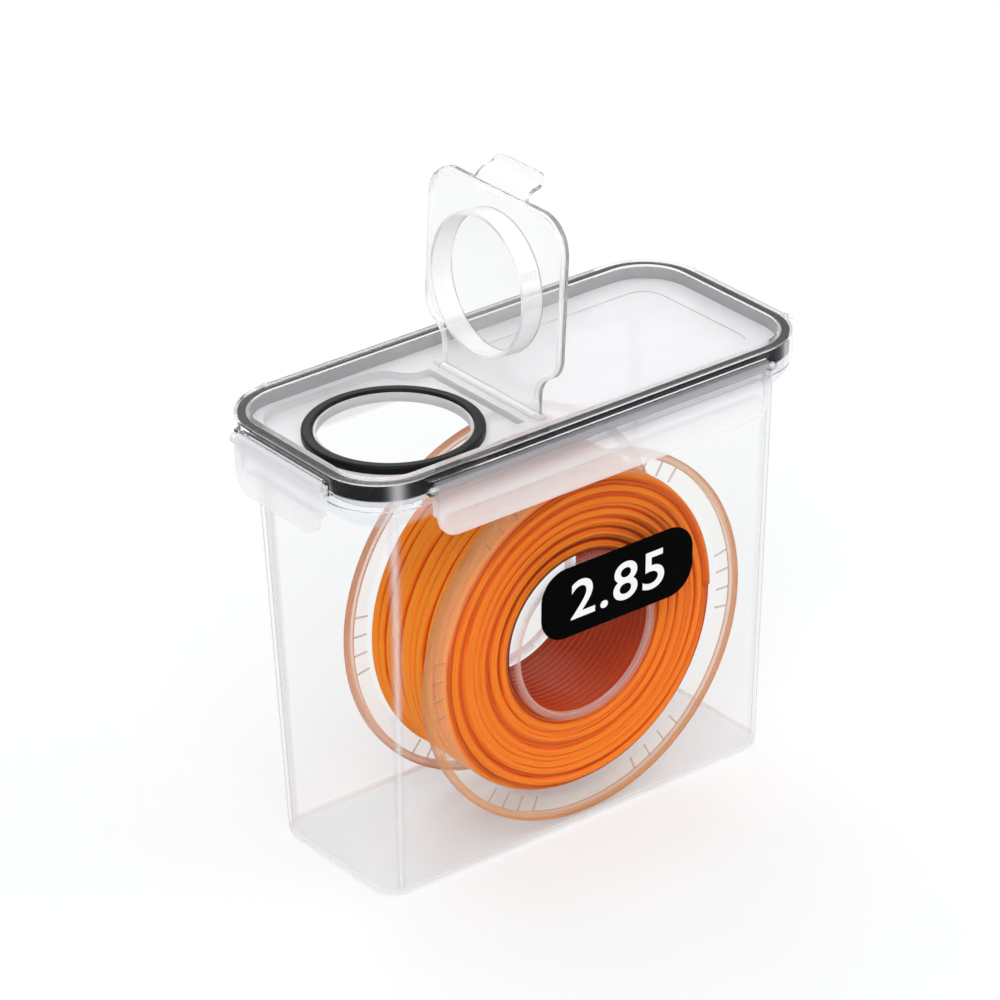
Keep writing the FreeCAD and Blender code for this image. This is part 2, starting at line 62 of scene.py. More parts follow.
def joint_place(name):
    """A point on a joint's axis at rest, in millimetres."""
    return next(Vector(joint["pos_m"]) / MM for joint in frame["joints"] if joint["name"] == name)


# Spool, from the frame: its middle, the hub, the flanges and the groove between them
SPOOL = joint_place("spool_spin")
HUB_LOW, HUB_HIGH = box_mm("spool_hub")
HUB_WALL = 3.5
HUB_R = HUB_HIGH.z - SPOOL.z
BORE_R = HUB_R - HUB_WALL
FLANGE_RIM_WIDTH = 3.6
FLANGE_R = box_mm("spool_front_flange")[1].z - SPOOL.z
RIM_R = FLANGE_R - FLANGE_RIM_WIDTH
GROOVE_FRONT, GROOVE_REAR = HUB_LOW.y, HUB_HIGH.y
GROOVE_HALF = (GROOVE_REAR - GROOVE_FRONT) / 2

# Winding: the core and the outer layer from the frame, and the strands that are drawn over them
CORE_R = box_mm("filament_core")[1].z - SPOOL.z
LAYER_LOW, LAYER_HIGH = box_mm("filament_outer_layer")
OUTER_R = (LAYER_HIGH.x - LAYER_LOW.x) / 2
STRAND_R, SIDE_STRAND_R = 2.1, 2.2
TURNS, SIDE_TURNS = 13, 8
STRAND_GAP, END_GAP = 0.1, 0.1
FIRST_Y = GROOVE_FRONT + STRAND_GAP + STRAND_R + END_GAP
LAST_Y = GROOVE_REAR - STRAND_GAP - STRAND_R - END_GAP
SIDE_OFF_HUB, SIDE_OFF_EDGE = 2.1, 2.0
SIDE_LOW_R, SIDE_HIGH_R = HUB_R + SIDE_OFF_HUB, CORE_R - SIDE_OFF_EDGE
SIDE_DEPTH = 1.7
FINE_PITCH = 1.9
POINTS_PER_TURN = 120

# Box and lid: the heights come from the frame, and the walls and radii are those of the CAD model
BOX_HIGH = box_mm("container_body")[1]
FLOOR_TOP = 2.5
MOUTH_BAND, SHOULDER_RISE = 8.2, 8.0
SHOULDER_LOW = BOX_HIGH.z - MOUTH_BAND - SHOULDER_RISE
WALL_LOW, WALL_HIGH = FLOOR_TOP + 0.6, SHOULDER_LOW - 0.3
BOTTOM_EDGE = (0.3, FLOOR_TOP - 0.3)
LID_HIGH = box_mm("lid")[1]
GASKET_HIGH = box_mm("lid_gasket")[1]
SKIRT_WALL, GASKET_PLAY = 1.4, 0.05
LID_HALF = {"X": GASKET_HIGH.x + SKIRT_WALL + GASKET_PLAY, "Y": GASKET_HIGH.y + SKIRT_WALL + GASKET_PLAY}
LID_CORNER_R = 30.0
RIM_INNER, RIM_WIDTH = 5.4, 6.8
PANEL_INSET = RIM_WIDTH + 0.3
LATCH_LOW, LATCH_HIGH = box_mm("latch_front")

# Cap: its hinge, its angle at rest, where its plate begins, and how far its ring reaches from the hinge
CAP_HINGE = joint_place("cap_flip")
CAP_OPEN = math.radians(94)
CAP_PLATE, CAP_RING_REACH = 1.0, 90.0


def add_camera():
    """The camera fitted to the photograph's outline."""
    az, el, roll = math.radians(-37.44), math.radians(27.46), math.radians(-1.21)
    target = Vector((-0.01132, 0, 0.15417))
    distance = 2.22231
    back = Vector((math.sin(az) * math.cos(el), -math.cos(az) * math.cos(el), math.sin(el)))
    right = Vector((math.cos(az), math.sin(az), 0))
    up = back.cross(right)
    side = right * math.cos(roll) + up * math.sin(roll)
    top = up * math.cos(roll) - right * math.sin(roll)
    place = Matrix((side, top, back)).transposed().to_4x4()
    place.translation = target + back * distance
    data = bpy.data.cameras.new("camera")
    data.sensor_width = 36.0
    data.lens = 176.657
    data.clip_start, data.clip_end = 0.05, 60.0
    camera = bpy.data.objects.new("camera", data)
    camera.matrix_world = place
    scene.collection.objects.link(camera)
    scene.camera = camera


# Helpers for materials: each adds nodes to a tree and gives back the socket that carries the result

def new_material(name):
    mat = bpy.data.materials.new(name)
    mat.use_nodes = True
    tree = mat.node_tree
    tree.nodes.clear()
    out = tree.nodes.new("ShaderNodeOutputMaterial")
    return mat, tree, out


def node(tree, kind, **values):
    made = tree.nodes.new(kind)
    for key, value in values.items():
        setattr(made, key, value)
    return made


def noise(tree, scale, detail=2.0):
    coords = node(tree, "ShaderNodeTexCoord")
    tex = node(tree, "ShaderNodeTexNoise")
    tex.inputs["Scale"].default_value = scale
    tex.inputs["Detail"].default_value = detail
    tree.links.new(coords.outputs["Object"], tex.inputs["Vector"])
    return tex.outputs["Fac"]


def ranged(tree, source, low, high, from_low=0.0, from_high=1.0):
    out = node(tree, "ShaderNodeMapRange")
    out.inputs["From Min"].default_value = from_low
    out.inputs["From Max"].default_value = from_high
    out.inputs["To Min"].default_value = low
    out.inputs["To Max"].default_value = high
    tree.links.new(source, out.inputs["Value"])
    return out.outputs["Result"]


def blend(tree, share, first, second):
    """The shader first, changing to second by share."""
    out = node(tree, "ShaderNodeMixShader")
    tree.links.new(share, out.inputs["Fac"])
    tree.links.new(first, out.inputs[1])
    tree.links.new(second, out.inputs[2])
    return out.outputs["Shader"]


def bump(tree, height, strength, distance):
    out = node(tree, "ShaderNodeBump")
    out.inputs["Strength"].default_value = strength
    out.inputs["Distance"].default_value = distance
    tree.links.new(height, out.inputs["Height"])
    return out.outputs["Normal"]


def calc(tree, operation, first, second=0.0):
    out = node(tree, "ShaderNodeMath", operation=operation)
    for socket, value in zip(out.inputs, (first, second)):
        if isinstance(value, float):
            socket.default_value = value
        else:
            tree.links.new(value, socket)
    return out.outputs["Value"]


def most(tree, *values):
    """The largest of several values."""
    result = values[0]
    for value in values[1:]:
        result = calc(tree, "MAXIMUM", result, value)
    return result


def steps(tree, source, stops):
    """A colour ramp over source, with (position, colour) stops."""
    ramp = node(tree, "ShaderNodeValToRGB")
    marks = ramp.color_ramp.elements
    while len(marks) < len(stops):
        marks.new(0.5)
    for mark, (position, colour) in zip(marks, stops):
        mark.position = position
        mark.color = (*colour, 1)
    tree.links.new(source, ramp.inputs["Fac"])
    return ramp.outputs["Color"]


def tint(tree, share, first, colour):
    """The colour first, changing to another colour by share."""
    mix = node(tree, "ShaderNodeMix", data_type="RGBA")
    tree.links.new(share, mix.inputs["Factor"])
    tree.links.new(first, mix.inputs["A"])
    mix.inputs["B"].default_value = (*colour, 1)
    return mix.outputs["Result"]


def axes(tree, kind):
    """The X, Y and Z sockets of the place (Object) or of the way the surface faces (Normal)."""
    coords = node(tree, "ShaderNodeTexCoord")
    split = node(tree, "ShaderNodeSeparateXYZ")
    tree.links.new(coords.outputs[kind], split.inputs["Vector"])
    return split.outputs


def height(tree):
    return axes(tree, "Object")["Z"]


def between(tree, value, low, high):
    """1 where value lies between low and high, in millimetres, else 0."""
    above = calc(tree, "GREATER_THAN", value, low * MM)
    return calc(tree, "MULTIPLY", above, calc(tree, "LESS_THAN", value, high * MM))


def from_axis(tree):
    """Distance from the spool's axis and from its middle plane, in metres."""
    coords = node(tree, "ShaderNodeTexCoord")
    offset = node(tree, "ShaderNodeVectorMath", operation="SUBTRACT")
    offset.inputs[1].default_value = SPOOL * MM
    tree.links.new(coords.outputs["Object"], offset.inputs[0])
    flat = node(tree, "ShaderNodeVectorMath", operation="MULTIPLY")
    flat.inputs[1].default_value = (1, 0, 1)
    tree.links.new(offset.outputs["Vector"], flat.inputs[0])
    far = node(tree, "ShaderNodeVectorMath", operation="LENGTH")
    tree.links.new(flat.outputs["Vector"], far.inputs[0])
    split = node(tree, "ShaderNodeSeparateXYZ")
    tree.links.new(offset.outputs["Vector"], split.inputs["Vector"])
    return far.outputs["Value"], calc(tree, "ABSOLUTE", split.outputs["Y"])


def painted_corner_highlight(tree):
    """1 on a narrow upright streak of painted highlight at each round corner, next to the long wall, and 0
    elsewhere.
    """
    streak_x, streak_y, narrowness = 0.40, 0.917, 150.0
    facing = axes(tree, "Normal")
    along = calc(tree, "MULTIPLY", calc(tree, "ABSOLUTE", facing["X"]), streak_x)
    across = calc(tree, "MULTIPLY", calc(tree, "ABSOLUTE", facing["Y"]), streak_y)
    return calc(tree, "POWER", calc(tree, "ADD", along, across), narrowness)


# Kinds of plastic, rubber and film

def clear_plastic(name, colour, ior, density):
    """Clear moulded plastic that lets lamps through, with uneven gloss and a faint waviness.

    density is how strongly its inside takes up light, per metre.
    """
    smoothest, roughest, wave, wave_height = 0.0, 0.03, 0.03, 0.0004
    let_through = 0.93
    mat, tree, out = new_material(name)
    shader = node(tree, "ShaderNodeBsdfPrincipled")
    shader.inputs["Base Color"].default_value = (*colour, 1)
    shader.inputs["Transmission Weight"].default_value = 1.0
    shader.inputs["IOR"].default_value = ior
    tree.links.new(ranged(tree, noise(tree, 18.0), smoothest, roughest), shader.inputs["Roughness"])
    tree.links.new(bump(tree, noise(tree, 60.0, detail=3.0), wave, wave_height), shader.inputs["Normal"])
    path = node(tree, "ShaderNodeLightPath")
    film = node(tree, "ShaderNodeBsdfTransparent")
    film.inputs["Color"].default_value = (let_through, let_through, let_through, 1)
    mix = blend(tree, path.outputs["Is Shadow Ray"], shader.outputs["BSDF"], film.outputs["BSDF"])
    tree.links.new(mix, out.inputs["Surface"])
    inside = node(tree, "ShaderNodeVolumeAbsorption")
    inside.inputs["Color"].default_value = (0.55, 0.57, 0.60, 1)
    inside.inputs["Density"].default_value = density
    tree.links.new(inside.outputs["Volume"], out.inputs["Volume"])
    return mat


def add_haze(mat, share, colour):
    """Mix a share of plain plastic into a clear material. share(tree) gives the share at each place."""
    smoothest, roughest = 0.3, 0.42
    tree = mat.node_tree
    out = tree.nodes["Material Output"]
    clear = out.inputs["Surface"].links[0].from_socket
    haze = node(tree, "ShaderNodeBsdfPrincipled")
    haze.inputs["Base Color"].default_value = (*colour, 1)
    tree.links.new(ranged(tree, noise(tree, 90.0, detail=3.0), smoothest, roughest), haze.inputs["Roughness"])
    tree.links.new(blend(tree, share(tree), clear, haze.outputs["BSDF"]), out.inputs["Surface"])


def film_plastic(name, colour, share, rough, clear_tint=1.0):
    """Thin clear plastic: colour(tree) shows on a share of the surface, and the rest is see-through.

    clear_tint is how much light the see-through part lets by.
    """
    relief, relief_height = 0.06, 0.0003
    mat, tree, out = new_material(name)
    shader = node(tree, "ShaderNodeBsdfPrincipled")
    grain = noise(tree, 90.0, detail=3.0)
    tree.links.new(ranged(tree, grain, *rough), shader.inputs["Roughness"])
    tree.links.new(bump(tree, grain, relief, relief_height), shader.inputs["Normal"])
    tree.links.new(colour(tree), shader.inputs["Base Color"])
    clear = node(tree, "ShaderNodeBsdfTransparent")
    clear.inputs["Color"].default_value = (clear_tint, clear_tint, clear_tint, 1)
    mix = blend(tree, share(tree), clear.outputs["BSDF"], shader.outputs["BSDF"])
    tree.links.new(mix, out.inputs["Surface"])
    return mat


def grained(name, scale, dark, light, rough, gloss, relief=0.0):
    """A solid material with a fine grain in its colour, its gloss and its surface."""
    relief_height = 0.0002
    mat, tree, out = new_material(name)
    shader = node(tree, "ShaderNodeBsdfPrincipled")
    grain = noise(tree, scale, detail=3.0)
    tree.links.new(steps(tree, grain, ((0.0, dark), (1.0, light))), shader.inputs["Base Color"])
    tree.links.new(ranged(tree, grain, *rough), shader.inputs["Roughness"])
    shader.inputs["Specular IOR Level"].default_value = gloss
    if relief:
        tree.links.new(bump(tree, grain, relief, relief_height), shader.inputs["Normal"])
    tree.links.new(shader.outputs["BSDF"], out.inputs["Surface"])
    return mat


def filament_plastic(name, tones, depth, across):
    """Satin orange plastic whose tone drifts from strand to strand, with painted shade in the gaps between
    them.

    tones are for the bore and the gaps, both painted shade, the middle, and the top, a painted light on the
    crests. depth(tree) is 0 at the bottom of a gap and 1 on top of a strand. across(tree) runs across the
    strands, which have a fine ridge every FINE_PITCH, bumped and also painted lighter and darker.
    """
    ridge_swing, drift_share, ridge_share = 14.0, 0.35, 0.24
    dark_at, middle_at, light_at = 0.12, 0.62, 1.0
    bore_depth, smoothest, roughest = 1.2, 0.36, 0.5
    ridge_strength, ridge_height, gloss = 0.55, 0.0003, 0.14
    mat, tree, out = new_material(name)
    shader = node(tree, "ShaderNodeBsdfPrincipled")
    drift = noise(tree, 26.0, detail=3.0)
    swing = calc(tree, "MULTIPLY", drift, ridge_swing)
    wave = calc(tree, "ADD", calc(tree, "MULTIPLY", across(tree), 2 * math.pi / (FINE_PITCH * MM)), swing)
    ridge = calc(tree, "SINE", wave)
    drifted = calc(tree, "MULTIPLY", drift, drift_share)
    uneven = calc(tree, "ADD", drifted, calc(tree, "MULTIPLY", ridge, ridge_share))
    mixed = calc(tree, "ADD", uneven, depth(tree))
    bore, dark, middle, light = tones
    # The bore and gap tones are painted shade, and the top tone is painted light on the crests.
    shade = steps(tree, mixed, ((dark_at, dark), (middle_at, middle), (light_at, light)))
    far, _ = from_axis(tree)
    inside = calc(tree, "LESS_THAN", far, (HUB_R + bore_depth) * MM)
    tree.links.new(tint(tree, inside, shade, bore), shader.inputs["Base Color"])
    tree.links.new(ranged(tree, noise(tree, 300.0), smoothest, roughest), shader.inputs["Roughness"])
    tree.links.new(bump(tree, ridge, ridge_strength, ridge_height), shader.inputs["Normal"])
    shader.inputs["Specular IOR Level"].default_value = gloss
    tree.links.new(shader.outputs["BSDF"], out.inputs["Surface"])
    return mat


# How much of each clear piece shows, and in what colour

def shell_share(tree):
    """The walls are all but clear, and show more where they are seen edge-on, in a grey that is painted
    shade.

    The floor and the shoulder show more too, and so do the bottom edge and the corners' streaks, which carry
    a painted highlight.
    """
    wall, floor, bottom_edge, shoulder, corner, edge_on = 0.006, 0.19, 0.62, 0.20, 0.32, 0.50
    edge_from, edge_full = 0.74, 0.96
    z = height(tree)
    low = ranged(tree, z, floor, wall, (FLOOR_TOP + 0.1) * MM, WALL_LOW * MM)
    # Painted highlight: the bottom edge here and the corners' streaks below show their near-white colour.
    under = calc(tree, "MULTIPLY", between(tree, z, *BOTTOM_EDGE), bottom_edge)
    high = ranged(tree, z, wall, shoulder, WALL_HIGH * MM, (SHOULDER_LOW + 0.3) * MM)
    streak = calc(tree, "MULTIPLY", painted_corner_highlight(tree), corner)
    view = node(tree, "ShaderNodeLayerWeight")
    edge = ranged(tree, view.outputs["Facing"], 0.0, edge_on, edge_from, edge_full)
    return most(tree, low, under, high, streak, edge)


def shell_colour(tree):
    """Grey on the walls, a painted shade for their edge-on look; nearly white on the bottom edge and the
    corners' streaks, a painted highlight; pale elsewhere.
    """
    z = height(tree)
    pale = steps(tree, noise(tree, 40.0, detail=3.0), ((0.3, (0.74, 0.78, 0.81)), (0.7, (0.80, 0.84, 0.87))))
    # Painted shade: the walls' grey, which shows where they are seen edge-on.
    walls = tint(tree, between(tree, z, WALL_LOW, WALL_HIGH), pale, (0.30, 0.31, 0.35))
    # Painted highlight: near-white on the corners' streaks and along the bottom edge.
    streaks = tint(tree, painted_corner_highlight(tree), walls, (0.88, 0.88, 0.90))
    return tint(tree, between(tree, z, *BOTTOM_EDGE), streaks, (0.98, 0.98, 0.99))


def rim_inset(tree):
    """How far in from the lid's outline, in metres."""
    place = axes(tree, "Object")
    over = []
    for axis, half in LID_HALF.items():
        over.append(calc(tree, "SUBTRACT", calc(tree, "ABSOLUTE", place[axis]), (half - LID_CORNER_R) * MM))
    straight_part = calc(tree, "MINIMUM", calc(tree, "MAXIMUM", over[0], over[1]), 0.0)
    squares = []
    for value in over:
        beyond = calc(tree, "MAXIMUM", value, 0.0)
        squares.append(calc(tree, "MULTIPLY", beyond, beyond))
    round_part = calc(tree, "POWER", calc(tree, "ADD", squares[0], squares[1]), 0.5)
    return calc(tree, "SUBTRACT", LID_CORNER_R * MM, calc(tree, "ADD", round_part, straight_part))


def rim_share(tree):
    """The rim's inner wall is hazy, so the gasket behind it shows grey."""
    haze, rim_top = 0.34, 1.5
    on_wall = between(tree, rim_inset(tree), RIM_INNER - 0.2, PANEL_INSET)
    below_top = calc(tree, "LESS_THAN", height(tree), (LID_HIGH.z - rim_top) * MM)
    return calc(tree, "MULTIPLY", on_wall, calc(tree, "MULTIPLY", below_top, haze))


def panel_share(tree):
    """The lid's sunk panel is milky, so that little of the spool shows through it."""
    thinnest, thickest = 0.48, 0.58
    inside = calc(tree, "GREATER_THAN", rim_inset(tree), PANEL_INSET * MM)
    return calc(tree, "MULTIPLY", inside, ranged(tree, noise(tree, 30.0), thinnest, thickest))


def skirt_share(tree):
    """A painted highlight on a streak of the outer wall at the lid's corners."""
    outer_wall, highlight_share = 1.0, 0.42
    outside = calc(tree, "LESS_THAN", rim_inset(tree), outer_wall * MM)
    return calc(tree, "MULTIPLY", outside, calc(tree, "MULTIPLY", painted_corner_highlight(tree), highlight_share))


def cap_share(tree):
    """The cap is faintly milky."""
    thinnest, thickest = 0.07, 0.12
    return ranged(tree, noise(tree, 30.0), thinnest, thickest)


def cap_ring_share(tree):
    """The ring and the skirt that stand out from the cap's plate are milkier, as far up as the ring goes."""
    haze = 0.36
    place = axes(tree, "Object")
    along = calc(tree, "SUBTRACT", place["X"], CAP_HINGE.x * MM)
    up = calc(tree, "SUBTRACT", place["Z"], CAP_HINGE.z * MM)
    lean = calc(tree, "MULTIPLY", up, math.cos(CAP_OPEN))
    depth = calc(tree, "ADD", calc(tree, "MULTIPLY", along, math.sin(CAP_OPEN)), lean)
    standing_out = calc(tree, "LESS_THAN", depth, CAP_PLATE * MM)
    below_tab = calc(tree, "LESS_THAN", up, CAP_RING_REACH * MM)
    return calc(tree, "MULTIPLY", haze, calc(tree, "MULTIPLY", standing_out, below_tab))


def frosting(tree, lower_share, upper_share):
    """A latch's share from its lower to its upper part, with more where it is seen edge-on."""
    change_from, change_to = LATCH_LOW.z + 10, LATCH_LOW.z + 24
    edge_share, edge_from, edge_full = 0.75, 0.62, 0.95
    plain = ranged(tree, height(tree), lower_share, upper_share, change_from * MM, change_to * MM)
    view = node(tree, "ShaderNodeLayerWeight")
    return most(tree, plain, ranged(tree, view.outputs["Facing"], 0.0, edge_share, edge_from, edge_full))


def latch_share(tree):
    """The long latches are frosted all over, a little less at the top."""
    return frosting(tree, lower_share=0.42, upper_share=0.34)


def end_latch_share(tree):
    """The latches at the ends hide more of the rim behind their tops."""
    return frosting(tree, lower_share=0.42, upper_share=0.66)


def end_latch_colour(tree):
    """Pale all the way up, with a little painted shade under the rim."""
    up = ranged(tree, height(tree), 0.0, 1.0, LATCH_LOW.z * MM, LATCH_HIGH.z * MM)
    return steps(tree, up, ((0.0, (0.98, 0.98, 0.99)), (0.7, (0.96, 0.96, 0.97)), (1.0, (0.80, 0.80, 0.82))))


def latch_colour(tree):
    """Pale, but grey towards the hinge: painted shade of the rim."""
    up = ranged(tree, height(tree), 0.0, 1.0, LATCH_LOW.z * MM, (LATCH_HIGH.z + 0.9) * MM)
    return steps(tree, up, ((0.0, (0.97, 0.96, 0.97)), (0.52, (0.93, 0.92, 0.94)), (0.72, (0.54, 0.54, 0.57)),
                            (1.0, (0.34, 0.34, 0.36))))


def spool_mark(radius):
    """Where a radius lies on the way from the flange's bore to its edge, from 0 to 1."""
    return (radius - BORE_R) / (FLANGE_R - BORE_R)


def on_tick(tree, far, aside):
    """1 on the short raised ticks inside the rim, else 0."""
    raised = calc(tree, "LESS_THAN", aside, (GROOVE_HALF - 0.2) * MM)
    return calc(tree, "MULTIPLY", raised, calc(tree, "LESS_THAN", far, (RIM_R - 0.1) * MM))


def spool_share(tree):
    """How much of each flange shows: most at the rim, the bore and the ticks, least over the winding."""
    tick_share = 0.55
    far, aside = from_axis(tree)
    along = ranged(tree, far, 0.0, 1.0, BORE_R * MM, FLANGE_R * MM)
    plain = steps(tree, along, [(spool_mark(radius), (value, value, value)) for radius, value in (
        (BORE_R, 0.40), (HUB_R, 0.22), (HUB_R + 0.3, 0.004), (OUTER_R, 0.004), (OUTER_R + 0.4, 0.08),
        (RIM_R - 0.2, 0.08), (RIM_R, 0.72), (RIM_R + 0.9, 0.46), (FLANGE_R - 1.0, 0.46), (FLANGE_R, 0.78))])
    return most(tree, plain, calc(tree, "MULTIPLY", on_tick(tree, far, aside), tick_share))


def spool_painted_reflection(tree):
    """Painted reflections of the orange winding in the clear flange: pink at the bore, pale yellow between
    the winding and the rim, brown on the rim's edges and the ticks.
    """
    tick_painted_reflection = (0.46, 0.25, 0.14)
    far, aside = from_axis(tree)
    along = ranged(tree, far, 0.0, 1.0, BORE_R * MM, FLANGE_R * MM)
    # Painted reflection: these tints stand for the orange winding's light in the clear plastic.
    plain = steps(tree, along, [(spool_mark(radius), colour) for radius, colour in (
        (BORE_R, (0.88, 0.62, 0.56)), (HUB_R + 0.3, (0.86, 0.50, 0.40)), (OUTER_R, (0.99, 0.90, 0.70)),
        (RIM_R - 0.2, (0.99, 0.88, 0.66)), (RIM_R, (0.62, 0.22, 0.05)), (RIM_R + 0.9, (0.84, 0.42, 0.14)),
        (FLANGE_R - 1.0, (0.80, 0.36, 0.11)), (FLANGE_R, (0.62, 0.22, 0.05)))])
    return tint(tree, on_tick(tree, far, aside), plain, tick_painted_reflection)


def hub_share(tree):
    """The hub is all but clear, so that the innermost turns show through it."""
    thinnest, thickest = 0.012, 0.03
    return ranged(tree, noise(tree, 60.0), thinnest, thickest)


def hub_painted_reflection(tree):
    # Dark red-brown: a painted, shaded reflection of the orange turns behind the clear hub.
    return steps(tree, noise(tree, 60.0), ((0.3, (0.44, 0.13, 0.07)), (0.7, (0.56, 0.18, 0.10))))


def pin_share(tree):
    thinnest, thickest = 0.22, 0.30
    return ranged(tree, noise(tree, 60.0), thinnest, thickest)


def pin_colour(tree):
    return steps(tree, noise(tree, 40.0, detail=3.0), ((0.3, (0.80, 0.79, 0.81)), (0.7, (0.88, 0.87, 0.88))))


def strand_shade_depth(tree):
    """Where the painted shade falls: 0 at the core's edge and 1 near the crests of the outer layer."""
    far, _ = from_axis(tree)
    return ranged(tree, far, 0.0, 1.0, (CORE_R + 0.2) * MM, (OUTER_R - 0.8) * MM)


def core_shade_depth(tree):
    """Where the painted shade falls: 0 between the side turns and in the bore, and 1 on the side turns'
    crests.
    """
    far, aside = from_axis(tree)
    crest = ranged(tree, aside, 0.0, 1.0, (GROOVE_HALF - 1.6) * MM, (GROOVE_HALF - 0.2) * MM)
    off_bore = ranged(tree, far, 0.0, 1.0, (HUB_R + 0.4) * MM, (HUB_R + 1.4) * MM)
    return calc(tree, "MULTIPLY", crest, off_bore)


def across_layer(tree):
    return from_axis(tree)[1]


def across_side(tree):
    return from_axis(tree)[0]


def paint(mat, *names):
    for name in names:
        nodes[name].data.materials.clear()
        nodes[name].data.materials.append(mat)


def paint_nodes():
    """Give every CAD node that shows its material."""
    shell = film_plastic("clear_shell", shell_colour, shell_share, rough=(0.2, 0.3), clear_tint=0.990)
    paint(shell, "container_body")
    cover = clear_plastic("clear_lid", (0.97, 0.97, 0.975), ior=1.12, density=3.0)
    add_haze(cover, panel_share, (0.78, 0.78, 0.795))
    add_haze(cover, rim_share, (0.72, 0.72, 0.74))
    add_haze(cover, skirt_share, (0.86, 0.86, 0.88))
    paint(cover, "lid")
    flap = clear_plastic("clear_cap", (0.985, 0.985, 0.985), ior=1.22, density=2.0)
    add_haze(flap, cap_share, (0.80, 0.80, 0.81))
    add_haze(flap, cap_ring_share, (0.93, 0.93, 0.94))
    paint(flap, "flip_cap")
    latch = film_plastic("frosted_latch", latch_colour, latch_share, rough=(0.3, 0.42))
    paint(latch, "latch_front", "latch_rear")
    end_latch = film_plastic("frosted_end_latch", end_latch_colour, end_latch_share, rough=(0.3, 0.42))
    paint(end_latch, "latch_left", "latch_right")
    flange = film_plastic("clear_spool", spool_painted_reflection, spool_share, rough=(0.12, 0.24))
    paint(flange, "spool_front_flange", "spool_rear_flange")
    hub = film_plastic("clear_hub", hub_painted_reflection, hub_share, rough=(0.12, 0.24))
    paint(hub, "spool_hub")
    pin = film_plastic("hinge_pin", pin_colour, pin_share, rough=(0.2, 0.3))
    paint(pin, "cap_hinge_pin", "latch_pin_front", "latch_pin_right", "latch_pin_rear", "latch_pin_left")
    rubber = grained("black_rubber", scale=220.0, dark=(0.002, 0.002, 0.0024), light=(0.007, 0.007, 0.008),
                     rough=(0.30, 0.46), gloss=0.12, relief=0.15)
    paint(rubber, "lid_gasket", "spout_seal")
    film = grained("black_label", scale=140.0, dark=(0.0006, 0.0006, 0.0007), light=(0.002, 0.002, 0.0022),
                   rough=(0.5, 0.62), gloss=0.01)
    paint(film, "label")


# Winding

def wobble(rng, orders, size):
    """A smooth random curve round the spool, as a function of the angle."""
    parts = [(k, rng.uniform(0, 2 * math.pi), rng.uniform(0.4, 1.0) * size / k ** 0.7) for k in orders]
    return lambda angle: sum(a * math.sin(k * angle + p) for k, p, a in parts)


def around(angle, radius, y):
    return Vector((SPOOL.x + radius * math.cos(angle), y, SPOOL.z + radius * math.sin(angle)))


def outer_path(rng):
    """The outermost layer: one strand wound from flange to flange, its ends tucked under the next turn."""
    total = TURNS * POINTS_PER_TURN
    lean = wobble(rng, (0.31, 0.53, 0.87, 1.3), 0.6)
    bulge = wobble(rng, (0.37, 0.71, 1.1, 2.0), 0.22)
    tuck_depth, sunk, fade_rate, tucks_per_turn = 2.2, 0.3, 10, 6
    points = []
    for i in range(total + 1):
        t = i / total
        angle = 2 * math.pi * i / POINTS_PER_TURN
        fade = min(1.0, fade_rate * t, fade_rate * (1 - t))
        tuck = tuck_depth * max(0.0, 1 - min(t, 1 - t) * TURNS * tucks_per_turn)
        radius = OUTER_R - STRAND_R - tuck + fade * (bulge(angle) - sunk)
        y = FIRST_Y + (LAST_Y - FIRST_Y) * t + fade * lean(angle)
        y = min(max(y, GROOVE_FRONT + STRAND_R + STRAND_GAP), GROOVE_REAR - STRAND_R - STRAND_GAP)
        points.append(around(angle, radius, y))
    return points


def side_path(rng, face_y, outward):
    """The turns that show on one side of the winding. outward is -1 at the front and 1 at the rear."""
    total = SIDE_TURNS * POINTS_PER_TURN
    lean = wobble(rng, (0.29, 0.47, 0.83, 1.27, 2.1), 0.5)
    bulge = wobble(rng, (0.33, 0.67, 1.2, 1.9), 0.22)
    tuck_depth, sunk, fade_rate, tucks_per_turn = 1.6, 0.35, 6, 6
    furthest = SIDE_DEPTH - STRAND_GAP - SIDE_STRAND_R
    points = []
    for i in range(total + 1):
        t = i / total
        angle = 2 * math.pi * i / POINTS_PER_TURN
        fade = min(1.0, fade_rate * t, fade_rate * (1 - t))
        radius = SIDE_LOW_R + (SIDE_HIGH_R - SIDE_LOW_R) * t + fade * lean(angle)
        tuck = tuck_depth * max(0.0, 1 - min(t, 1 - t) * SIDE_TURNS * tucks_per_turn)
        out = min(fade * (bulge(angle) - sunk) - sunk - tuck, furthest)
        points.append(around(angle, radius, face_y + outward * out))
    return points


def tube(points, radius):
    """Vertices and faces of a round tube along points, with closed ends."""
    sides = 10
    count = len(points)
    axis = Vector((0, 1, 0))
    verts, faces = [], []
    for i, point in enumerate(points):
        ahead = points[min(i + 1, count - 1)] - points[max(i - 1, 0)]
        ahead.normalize()
        out = ahead.cross(axis).normalized()
        up = out.cross(ahead)
        for k in range(sides):
            turn = 2 * math.pi * k / sides
            verts.append((point + (out * math.cos(turn) + up * math.sin(turn)) * radius) * MM)
    for i in range(count - 1):
        for k in range(sides):
            a, b = i * sides + k, i * sides + (k + 1) % sides
            faces.append((a, b, b + sides, a + sides))
    faces.append(tuple(reversed(range(sides))))
    faces.append(tuple(range((count - 1) * sides, count * sides)))
    return verts, faces


